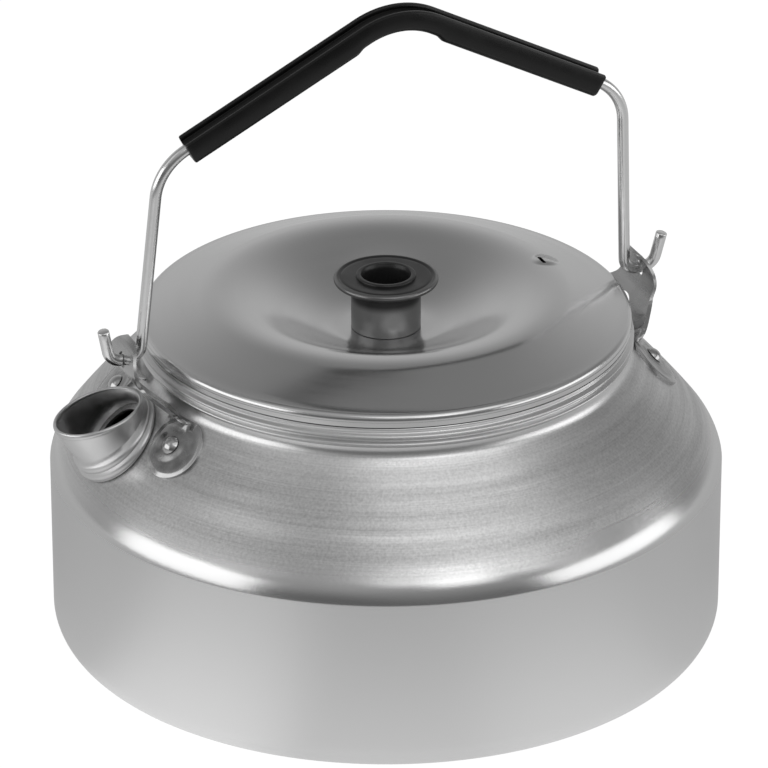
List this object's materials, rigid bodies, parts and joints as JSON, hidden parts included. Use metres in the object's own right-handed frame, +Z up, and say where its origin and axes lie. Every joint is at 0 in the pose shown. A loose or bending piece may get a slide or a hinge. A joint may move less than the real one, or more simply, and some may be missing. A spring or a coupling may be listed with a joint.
{
  "type": "camping kettle",
  "caption": "Low round aluminium kettle with a sloping shoulder, short flared spout, dished lift-off lid and folding wire bail with a moulded grip.",
  "frame": {"origin": "centre of the flat base, on its underside", "axes": "+Z up; -X towards the spout; the bail's hinge line runs along X and the bail leans towards -Y at rest"},
  "size_m": [0.1787, 0.175, 0.1753],
  "materials": {
    "body_sheet": "satin, spun",
    "lid_sheet": "satin, polished",
    "lug_steel": "polished",
    "rivet_metal": "polished",
    "wire_steel": "polished",
    "screw_steel": "plain",
    "knob_plastic": "satin",
    "grip_plastic": "slightly glossy"
  },
  "bodies": {
    "kettle": {"kettle_body": "body_sheet", "spout": "body_sheet", "spout_lug": "lug_steel", "rear_lug": "lug_steel", "spout_lug_rivet_a": "rivet_metal", "spout_lug_rivet_b": "rivet_metal", "rear_lug_rivet_a": "rivet_metal", "rear_lug_rivet_b": "rivet_metal"},
    "lid_with_knob": {"lid": "lid_sheet", "knob": "knob_plastic", "knob_screw": "screw_steel", "knob_washer": "screw_steel", "knob_nut": "screw_steel"},
    "bail": {"bail_wire": "wire_steel", "bail_grip": "grip_plastic"}
  },
  "joints": [
    {"name": "bail_swing", "type": "hinge", "parent": "kettle", "child": "bail", "pos_m": [0, 0, 0.08729], "axis": [1, 0, 0], "range_deg": [-107, 97]},
    {"name": "lid_lift", "type": "slide", "parent": "kettle", "child": "lid_with_knob", "axis": [0, 0, 1], "range_m": [0, 0.025]}
  ]
}
